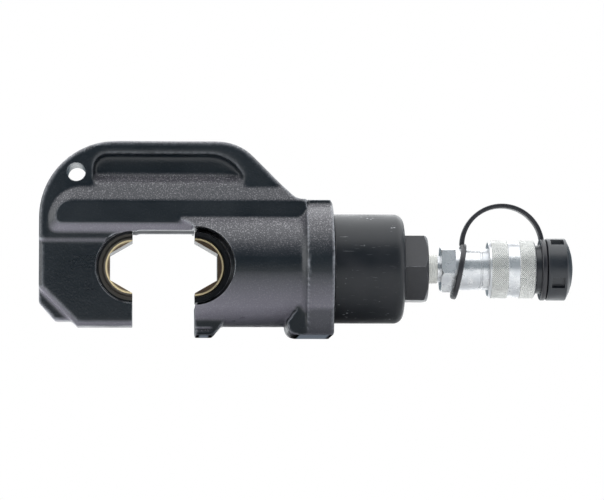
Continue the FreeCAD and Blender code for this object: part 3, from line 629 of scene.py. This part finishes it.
def head_blank():
    """The head before machining: its bores, window and mouth filled again, then softened."""
    blank = NODES["head_casting"].copy()
    blank.data = blank.data.copy()
    bpy.context.collection.objects.link(blank)
    blank.parent = None
    blank.name = "head_forging"
    tidy_mesh(blank, 2e-6)
    z = BASE_TO_AXIS
    barrel_radius = 36.3
    rim_half = 16.5
    hole_z = z + LANYARD_HEIGHT
    fill = [
        add_block("mouth_fill", (-112, -JAW_HALF, z - 34), (-68, JAW_HALF, z + 24)),
        add_rod("seat_fill", SEAT_RADIUS + 0.6, (-106, -JAW_HALF, z), (-106, JAW_HALF, z)),
        add_rod("relief_fill", RAM_BORE + 0.55, (-107, 0, z), (-69, 0, z), 96),
        add_rod("bore_fill", barrel_radius, (-71, 0, z), (15.6, 0, z), 128),
        add_rod("lanyard_fill", LANYARD_RADIUS + 0.75,
                (LANYARD_X, -rim_half, hole_z), (LANYARD_X, rim_half, hole_z)),
        add_rod("detent_fill", DETENT_RADIUS + 0.5, (-165.3, 0, z), (-120, 0, z)),
    ]
    blank = join([blank] + fill, "head_forging")
    use_modifier(blank, "REMESH", mode="VOXEL", voxel_size=MM, use_smooth_shade=True)
    use_modifier(blank, "SMOOTH", factor=0.5, iterations=4)
    recess = blank.vertex_groups.new(name="finger_recess")
    inside = [v.index for v in blank.data.vertices if in_recess(v.co)]
    recess.add(inside, 1.0, "REPLACE")
    use_modifier(blank, "SMOOTH", factor=0.5, iterations=30, vertex_group="finger_recess")
    mark_worn_and_highlit_edges(blank)
    return blank


def mark_worn_and_highlit_edges(piece):
    """Writes how far each point stands out from its neighbours: one on a sharp convex corner, which
    the paint shows as worn paint and a painted edge highlight.
    """
    mesh = bmesh.new()
    mesh.from_mesh(piece.data)
    edge_wear_and_highlight = mesh.verts.layers.float.new("edge_wear_and_highlight")
    for vert in mesh.verts:
        around = [edge.other_vert(vert).co for edge in vert.link_edges]
        middle = sum(around, Vector()) / len(around)
        stands_out = (vert.co - middle).dot(vert.normal) / MM
        least, span = 0.035, 0.07
        vert[edge_wear_and_highlight] = min(1.0, max(0.0, (stands_out - least) / span))
    mesh.to_mesh(piece.data)
    mesh.free()


def in_recess(place):
    """True in and just round the finger recesses, but not out at the head's rim."""
    z = place.z / MM - BASE_TO_AXIS
    x = place.x / MM
    corner = math.hypot(x + 55.6, z - 46.7) < 27.5 or x < -55.6
    return -137 < x < -32 and 50 < z < 74.2 and corner and abs(place.y) < 17.2 * MM


def head_cutters():
    """Everything that the mill and the lathe take out of the forging."""
    z = BASE_TO_AXIS
    top = z + CEILING
    mouth = add_block("mouth_cutter", (ANVIL_FACE, -FAR, z - 70), (RAM_FACE, FAR, top))
    bpy.ops.object.mode_set(mode="EDIT")

    def upper_left(edge):
        return all(abs(v.co.x - ANVIL_FACE * MM) < 1e-5 and abs(v.co.z - top * MM) < 1e-5
                   for v in edge.verts)

    choose(mouth, "edges", upper_left)
    bpy.ops.mesh.bevel(offset=5.0 * MM, segments=6, affect="EDGES")
    bpy.ops.object.mode_set(mode="OBJECT")
    ceiling = add_block("ceiling_cutter", (-101, -FAR, z + 10), (RAM_FACE, FAR, top))
    seat = add_rod("seat_cutter", SEAT_RADIUS, (ANVIL_FACE, -40, z), (ANVIL_FACE, 40, z), 128)
    edges = [seat_edge(side) for side in (-1, 1)]
    window = window_cutter()
    hole_z = z + LANYARD_HEIGHT
    hole = add_rod("hole_cutter", LANYARD_RADIUS, (LANYARD_X, -40, hole_z), (LANYARD_X, 40, hole_z))
    detent = add_rod("detent_cutter", DETENT_RADIUS, (-170, 0, z), (-140, 0, z), 32)
    bore = turn_on_lathe("bore_cutter", [
        (-107.9, RAM_BORE), (-43, RAM_BORE), (-43, BUSH_BORE), (-40, BUSH_BORE), (-40, RAM_BORE),
        (-39, RAM_BORE), (-39, BUSH_BORE), (-34.5, BUSH_BORE), (-34.5, RAM_BORE), (-20, RAM_BORE),
        (-20, SPIGOT_BORE), (20, SPIGOT_BORE)], 128)
    pin = add_rod("pin_cutter", 3.0, (-31, 0, z - 45), (-31, 0, z - 22), 32)
    lock = add_rod("lock_cutter", 2.5, (6, 25, z), (6, 50, z), 32)
    return [mouth, ceiling, seat, *edges, window, hole, detent, bore, pin, lock]


def window_cutter():
    """Half rod that opens the barrel on both sides of the ram's seat."""
    z = BASE_TO_AXIS
    window = add_rod("window_cutter", WINDOW_RADIUS, (RAM_FACE, -FAR, z), (RAM_FACE, FAR, z), 128)
    flat = RAM_FACE - 0.05
    bpy.ops.object.mode_set(mode="EDIT")
    choose(window, "verts", lambda v: v.co.x < flat * MM)
    bpy.ops.transform.resize(value=(0, 1, 1), center_override=(flat * MM, 0, AXIS))
    bpy.ops.object.mode_set(mode="OBJECT")
    return window


def seat_edge(side):
    """Cone that breaks the seat's edge on one face of the jaw."""
    start_clean()
    bpy.ops.mesh.primitive_cone_add(
        vertices=128, radius1=21.5 * MM, radius2=23.5 * MM, depth=2 * MM,
        location=(ANVIL_FACE * MM, side * (JAW_HALF - 0.1) * MM, AXIS),
        rotation=(-side * math.pi / 2, 0, 0))
    return settle(named("seat_edge_cutter"))


def forged_head():
    head = head_blank()
    dress(head, PAINT)
    for cutter in head_cutters():
        dress(cutter, MACHINED)
        use_modifier(head, "BOOLEAN", object=cutter, operation="DIFFERENCE",
                     solver="MANIFOLD", material_mode="TRANSFER")
        discard(cutter)
    smooth(head, 40)
    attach(head, "tool")
    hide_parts("head_casting")
    return head


# ---------------------------------------------------------------- knurled sleeve

def in_band(part, bands, radius):
    """True where a face or edge lies on one of the sleeve's knurled bands."""
    points = [v.co for v in part.verts]
    middle = sum(points, Vector()) / len(points)
    x = middle.x / MM
    away = min(math.hypot(p.y, p.z - AXIS) for p in points) / MM
    return away > radius - 0.15 and any(low < x < high for low, high in bands)


def knurled_sleeve():
    """Locking sleeve with two bands of raised diamonds and a plain band between them."""
    radius = 17.7
    rows = 8
    bore, socket = 12.95, 15.2
    first, second = (113.9, 124.2), (131.6, 140.8)
    bands = (first, second)
    profile = [(112.4, bore), (112.4, 16.6), (112.8, 17.1)]
    profile += [(first[0] + (first[1] - first[0]) * i / rows, radius) for i in range(rows + 1)]
    profile += [(124.5, 17.35), (124.9, 17.3), (130.9, 17.3), (131.3, 17.35)]
    profile += [(second[0] + (second[1] - second[0]) * i / rows, radius) for i in range(rows + 1)]
    profile += [(141.3, 17.2), (141.5, 16.6), (141.5, 15.6), (141.1, socket), (127.0, socket),
                (127.0, 14.2), (122.4, 14.2), (122.4, bore), (112.4, bore)]
    sleeve = turn_on_lathe("coupler_sleeve", profile, 88)
    take(sleeve)
    bpy.ops.object.mode_set(mode="EDIT")
    choose(sleeve, "faces", lambda f: in_band(f, bands, radius))
    bpy.ops.mesh.poke(offset=0.0)

    def old_edge(edge):
        a, b = edge.verts
        straight = abs(a.co.x - b.co.x) < 1e-6 or (a.co - b.co).cross(Vector((1, 0, 0))).length < 1e-6
        inside = len(edge.link_faces) == 2 and all(len(f.verts) == 3 for f in edge.link_faces)
        return straight and inside and in_band(edge, bands, radius)

    choose(sleeve, "edges", old_edge)
    bpy.ops.mesh.dissolve_edges(use_verts=False)
    choose(sleeve, "faces", lambda f: len(f.verts) == 4 and in_band(f, bands, radius)
           and abs(f.normal.x) < 0.5 and len({round(v.co.x, 6) for v in f.verts}) == 3)
    bpy.ops.mesh.inset(thickness=0.26 * MM, depth=0.3 * MM, use_individual=True)
    bpy.ops.object.mode_set(mode="OBJECT")
    dress(sleeve, ZINC)
    sleeve.data.materials.append(KNURL)
    for face in sleeve.data.polygons:
        if in_band_centre(face.center, bands, radius):
            face.material_index = 1
    smooth(sleeve, 20)
    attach(sleeve, "sleeve")
    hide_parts("knurled_sleeve")
    return sleeve


def in_band_centre(centre, bands, radius):
    x = centre.x / MM
    away = math.hypot(centre.y, centre.z - AXIS) / MM
    return away > radius - 0.25 and any(low < x < high for low, high in bands)


# ---------------------------------------------------------------- dust cap

def dust_cap():
    """Moulded cap with a screwed skirt, a drum with four recesses and a domed end."""
    drum = 19.3
    neck, skirt, inside = 15.0, 14.8, 11.6
    recess_start, recess_end, recess_depth = 150.6, 159.6, 2.3
    rings = 6
    steps = [recess_start + (recess_end - recess_start) * i / rings for i in range(rings + 1)]
    cap = turn_on_lathe("cap_body", [
        (165.4, 1.0), (165.1, drum - 13.5), (164.3, drum - 9.0), (162.8, drum - 4.4),
        (160.8, drum - 0.3), (160.4, drum)]
        + [(x, drum) for x in reversed(steps)]
        + [(149.5, drum), (148.9, drum - 0.3), (148.6, drum - 1.0), (148.6, neck), (142.0, neck),
           (141.8, skirt), (130.5, skirt), (130.0, skirt - 0.5), (130.0, inside),
           (160.2, inside), (162.0, 9.0), (163.0, 1.0)], 120)
    take(cap)
    bpy.ops.object.mode_set(mode="EDIT")

    def in_hollow(face):
        centre = face.calc_center_median()
        x = centre.x / MM
        away = math.hypot(centre.y, centre.z - AXIS) / MM
        angle = math.degrees(math.atan2(-centre.y, centre.z - AXIS)) % 90
        return away > drum - 0.4 and recess_start < x < recess_end and 18 < angle < 42

    choose(cap, "faces", in_hollow)
    bpy.ops.mesh.inset(thickness=0.5 * MM, depth=0.0)
    bpy.ops.mesh.extrude_region_move(TRANSFORM_OT_translate={"value": (0, 0, 0)})
    shrink = 1 - recess_depth / drum
    bpy.ops.transform.resize(value=(1, shrink, shrink), center_override=(0.155, 0, AXIS))
    bpy.ops.object.mode_set(mode="OBJECT")
    use_modifier(cap, "BEVEL", width=0.3 * MM, segments=2, limit_method="ANGLE",
                 angle_limit=math.radians(40))
    tidy_mesh(cap)
    smooth(cap, 35)
    dress(cap, CAP)
    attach(cap, "cap")
    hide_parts("dust_cap")
    return cap


# ---------------------------------------------------------------- strap

def strap_ring(name, middle, inner, outer, thickness, lean, body, node):
    """Moulded strap ring with rounded edges."""
    half = thickness / 2
    soft = 0.6
    ring = turn_on_lathe(name, [
        (-half, inner + soft), (-half, outer - soft), (-half + soft, outer), (half - soft, outer),
        (half, outer - soft), (half, inner + soft), (half - soft, inner), (-half + soft, inner),
        (-half, inner + soft)], 96, height=0.0)
    take(ring)
    bpy.ops.object.mode_set(mode="EDIT")
    bpy.ops.mesh.select_all(action="SELECT")
    bpy.ops.mesh.bevel(offset=0.18 * MM, segments=2, affect="EDGES")
    bpy.ops.object.mode_set(mode="OBJECT")
    ring.rotation_euler = (0, lean, 0)
    ring.location = middle
    settle(ring)
    smooth(ring, 50)
    dress(ring, STRAP)
    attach(ring, body)
    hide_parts(node)
    return ring


ARCH_X, ARCH_Z, ARCH_RADIUS = 121.6, 14.6, 25.0


def strap_arch():
    """Strap arch: a flat strip bent over the sleeve, its far end lifted clear of the cap's neck."""
    thickness, width = 2.7, 7.0
    steps = 48
    centre = Vector((ARCH_X, 0, ARCH_Z + BASE_TO_AXIS)) * MM
    start_clean()
    bpy.ops.mesh.primitive_plane_add(size=1, location=centre + Vector((ARCH_RADIUS * MM, 0, 0)))
    strap = settle(named("strap_arch"))
    bpy.ops.object.mode_set(mode="EDIT")
    bpy.ops.mesh.select_all(action="SELECT")
    bpy.ops.transform.resize(value=(thickness * MM, width * MM, 1),
                             center_override=centre + Vector((ARCH_RADIUS * MM, 0, 0)))
    bpy.ops.mesh.spin(steps=steps, angle=math.pi, center=centre, axis=(0, 1, 0))
    choose(strap, "verts", lambda v: v.co.x > ARCH_X * MM and v.co.z < centre.z + 0.2 * MM)
    bpy.ops.transform.translate(value=(0, 0, 0.9 * MM))
    bpy.ops.object.mode_set(mode="OBJECT")
    tidy_mesh(strap)
    use_modifier(strap, "BEVEL", width=0.9 * MM, segments=3, limit_method="ANGLE",
                 angle_limit=math.radians(50))
    smooth(strap, 40)
    dress(strap, STRAP)
    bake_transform(strap)
    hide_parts("strap_band")
    return strap


# ---------------------------------------------------------------- springs

def wound_spring(name, start, end, radius, wire, turns, node, body, other=None):
    """Helical spring: a wire section wound round the ram axis by the screw modifier."""
    start_clean()
    bpy.ops.mesh.primitive_circle_add(vertices=10, radius=wire * MM, location=(0, 0, 0),
                                      rotation=(math.pi / 2, 0, 0))
    spring = settle(named(name))
    bpy.ops.object.mode_set(mode="EDIT")
    bpy.ops.mesh.select_all(action="SELECT")
    bpy.ops.transform.translate(value=(0, 0, radius * MM))
    bpy.ops.object.mode_set(mode="OBJECT")
    length = end - start - 2 * wire
    use_modifier(spring, "SCREW", axis="X", angle=2 * math.pi * turns,
                 screw_offset=length * MM, steps=24 * turns, render_steps=24 * turns,
                 use_merge_vertices=False)
    bpy.ops.object.mode_set(mode="EDIT")
    bpy.ops.mesh.select_all(action="DESELECT")
    bpy.ops.mesh.select_mode(type="EDGE")
    bpy.ops.mesh.select_non_manifold()
    bpy.ops.mesh.fill_holes(sides=0)
    bpy.ops.mesh.select_all(action="SELECT")
    bpy.ops.mesh.normals_make_consistent(inside=False)
    bpy.ops.transform.translate(value=((start + wire) * MM, 0, AXIS))
    bpy.ops.object.mode_set(mode="OBJECT")
    smooth(spring, 60)
    dress(spring, WIRE)
    if other:
        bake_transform(spring)
    else:
        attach(spring, body)
    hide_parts(node)
    return spring


# ---------------------------------------------------------------- thread tape

def thread_tape():
    """White tape wound on the pipe thread: the thread's ridges show through it."""
    start, end = 74.65, 80.95
    ridges = 5
    profile = [(start, 8.52), (start, 8.75)]
    pitch = (end - start - 0.3) / ridges
    for i in range(ridges):
        x = start + 0.15 + i * pitch
        profile += [(x, 8.72), (x + pitch * 0.3, 8.9), (x + pitch * 0.7, 8.9), (x + pitch, 8.74)]
    profile += [(end, 8.6), (end, 8.52), (start, 8.52)]
    tape = turn_on_lathe("pipe_tape", profile, 96)
    smooth(tape, 50)
    dress(tape, TAPE)
    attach(tape, "tool")
    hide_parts("thread_tape")
    return tape


# ---------------------------------------------------------------- light, floor and camera

def studio():
    """Pale floor that is clear from below, a white backdrop, and five soft boxes round the tool."""
    bpy.context.scene.view_settings.view_transform = "Standard"
    start_clean()
    bpy.ops.mesh.primitive_plane_add(size=6, location=(0, 0, 0))
    floor = named("studio_floor")
    material = bpy.data.materials.new("studio_floor")
    material.use_nodes = True
    tree = material.node_tree
    shader = tree.nodes["Principled BSDF"]
    shader.inputs["Base Color"].default_value = (0.9, 0.9, 0.9, 1)
    shader.inputs["Roughness"].default_value = 0.7
    clear = add_node(tree, "ShaderNodeBsdfTransparent")
    side = add_node(tree, "ShaderNodeNewGeometry")
    mix = add_node(tree, "ShaderNodeMixShader")
    tree.links.new(side.outputs["Backfacing"], mix.inputs[0])
    tree.links.new(shader.outputs[0], mix.inputs[1])
    tree.links.new(clear.outputs[0], mix.inputs[2])
    tree.links.new(mix.outputs[0], tree.nodes["Material Output"].inputs["Surface"])
    floor.data.materials.append(material)

    world = bpy.data.worlds.new("studio")
    world.use_nodes = True
    bpy.context.scene.world = world
    tree = world.node_tree
    tree.nodes.clear()
    path = add_node(tree, "ShaderNodeLightPath")
    seen = add_node(tree, "ShaderNodeBackground", {"Color": (1, 1, 1, 1), "Strength": 1.0})
    glow = add_node(tree, "ShaderNodeBackground", {"Color": (0.62, 0.85, 1, 1), "Strength": 0.24})
    mix = add_node(tree, "ShaderNodeMixShader")
    tree.links.new(path.outputs["Is Camera Ray"], mix.inputs[0])
    tree.links.new(glow.outputs[0], mix.inputs[1])
    tree.links.new(seen.outputs[0], mix.inputs[2])
    out = add_node(tree, "ShaderNodeOutputWorld")
    tree.links.new(mix.outputs[0], out.inputs["Surface"])

    soft_box("top_light", (0.0, 0.0, 0.8), (0, 0, 0.05), (2.0, 1.3), 21.0)
    soft_box("under_light", (0.0, -0.1, -0.8), (0, 0, 0.04), (2.0, 1.2), 6.5)
    soft_box("left_light", (-0.9, -0.1, 0.15), (0, 0, 0.05), (0.8, 0.8), 7.0)
    soft_box("right_light", (0.95, -0.2, 0.2), (0.1, 0, 0.05), (0.8, 0.8), 3.5)
    soft_box("back_light", (0.1, 0.9, 0.6), (0, 0, 0.05), (1.6, 0.5), 6.0)


def soft_box(name, place, aim, size, power):
    start_clean()
    bpy.ops.object.light_add(type="AREA", location=place)
    light = bpy.context.object
    light.name = name
    light.data.shape = "RECTANGLE"
    light.data.size, light.data.size_y = size
    light.data.energy = power
    toward = Vector(aim) - Vector(place)
    light.rotation_euler = toward.to_track_quat("-Z", "Y").to_euler()


def camera():
    """Long lens, a little to the left of the tool and a little below it."""
    aim = Vector((-0.0029, 0.0, 0.054))
    distance = 2.0
    azimuth, elevation = math.radians(2.7), math.radians(-4.4)
    back = Vector((-math.sin(azimuth) * math.cos(elevation),
                   -math.cos(azimuth) * math.cos(elevation), math.sin(elevation)))
    start_clean()
    bpy.ops.object.camera_add(location=aim + back * distance)
    view = bpy.context.object
    view.rotation_euler = (-back).to_track_quat("-Z", "Y").to_euler()
    view.data.lens = 192
    view.data.sensor_width = 36
    view.data.clip_start = 0.05
    view.data.clip_end = 20
    bpy.context.scene.camera = view


# ---------------------------------------------------------------- assembly

def rest_of_strap():
    strap_ring("strap_neck_ring", Vector((94.4 * MM, 0, AXIS - 1.3 * MM)), 14.95, 17.65, 3.2,
               math.radians(11), "tool", "strap_loop")
    strap_ring("strap_cap_ring", Vector((146.6 * MM, 0, AXIS)), 15.25, 19.3, 3.2, 0.0, "cap_ring",
               "strap_cap_loop")
    strap_arch()


def springs():
    wound_spring("ram_return_coil", -19, 42, 7.25, 1.25, 14, "return_spring", "tool", "ram")
    wound_spring("poppet_coil", 109, 119, 5.0, 0.6, 5, "poppet_spring", "tool", "poppet")
    wound_spring("anvil_detent_coil", -146.6, -132.7, 1.95, 0.35, 8, "anvil_detent_spring", "tool")
    wound_spring("ram_detent_coil", -44.8, -33, 1.95, 0.35, 7, "ram_detent_spring", "ram")


dress_carried_over()
forged_head()
knurled_sleeve()
dust_cap()
rest_of_strap()
springs()
thread_tape()
studio()
camera()
